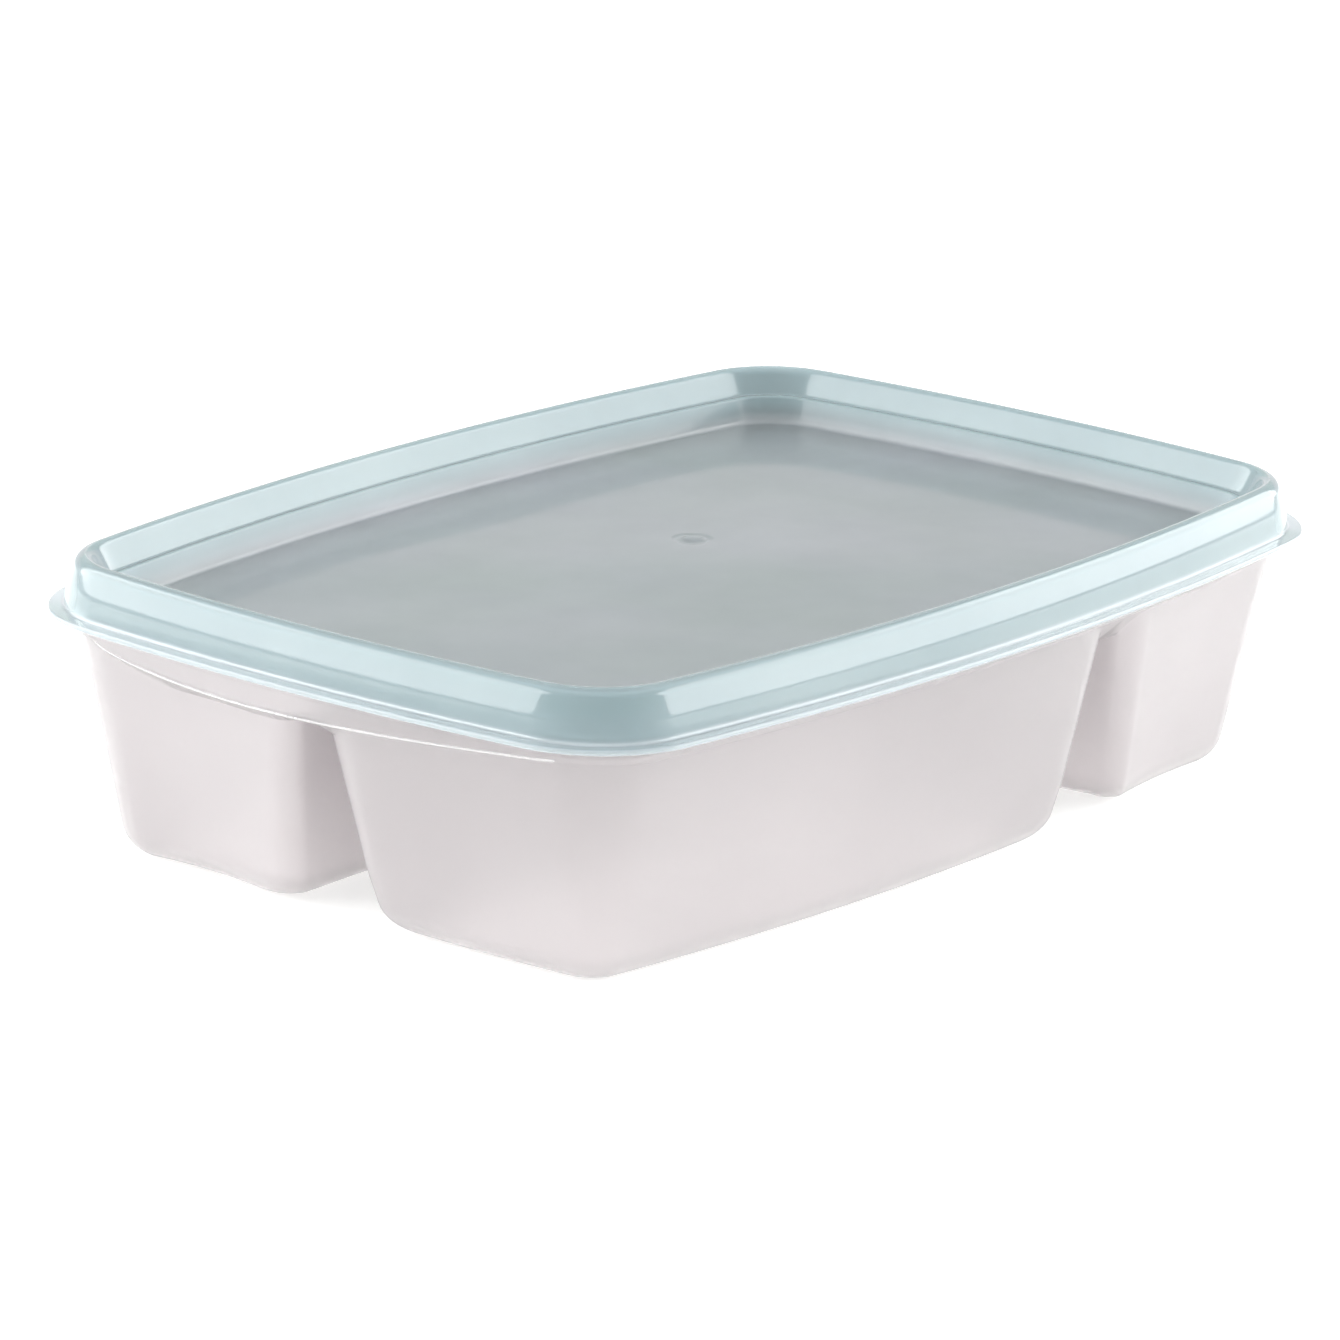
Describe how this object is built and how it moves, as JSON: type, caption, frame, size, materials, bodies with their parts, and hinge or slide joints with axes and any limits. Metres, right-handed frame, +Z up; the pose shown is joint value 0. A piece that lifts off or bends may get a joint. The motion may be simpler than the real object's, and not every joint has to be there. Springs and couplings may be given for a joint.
{
  "type": "divided lunch box",
  "caption": "Divided lunch box: one-piece translucent tray with separate deep wells, and a snap-fit lid with a raised bead and a recessed panel.",
  "frame": {"origin": "centre of the base, on the surface that the box stands on", "axes": "+X along the long side, +Y along the short side towards the large well, +Z up out of the lid"},
  "size_m": [0.24, 0.167, 0.06],
  "materials": {
    "tray_plastic": "translucent, satin",
    "lid_plastic": "translucent, glossy"
  },
  "bodies": {
    "tray_body": {"tray": "tray_plastic"},
    "lid_body": {"lid": "lid_plastic"}
  },
  "joints": [
    {"name": "lid_lift", "type": "slide", "parent": "tray_body", "child": "lid_body", "axis": [0, 0, 1], "range_m": [0, 0.06]}
  ]
}
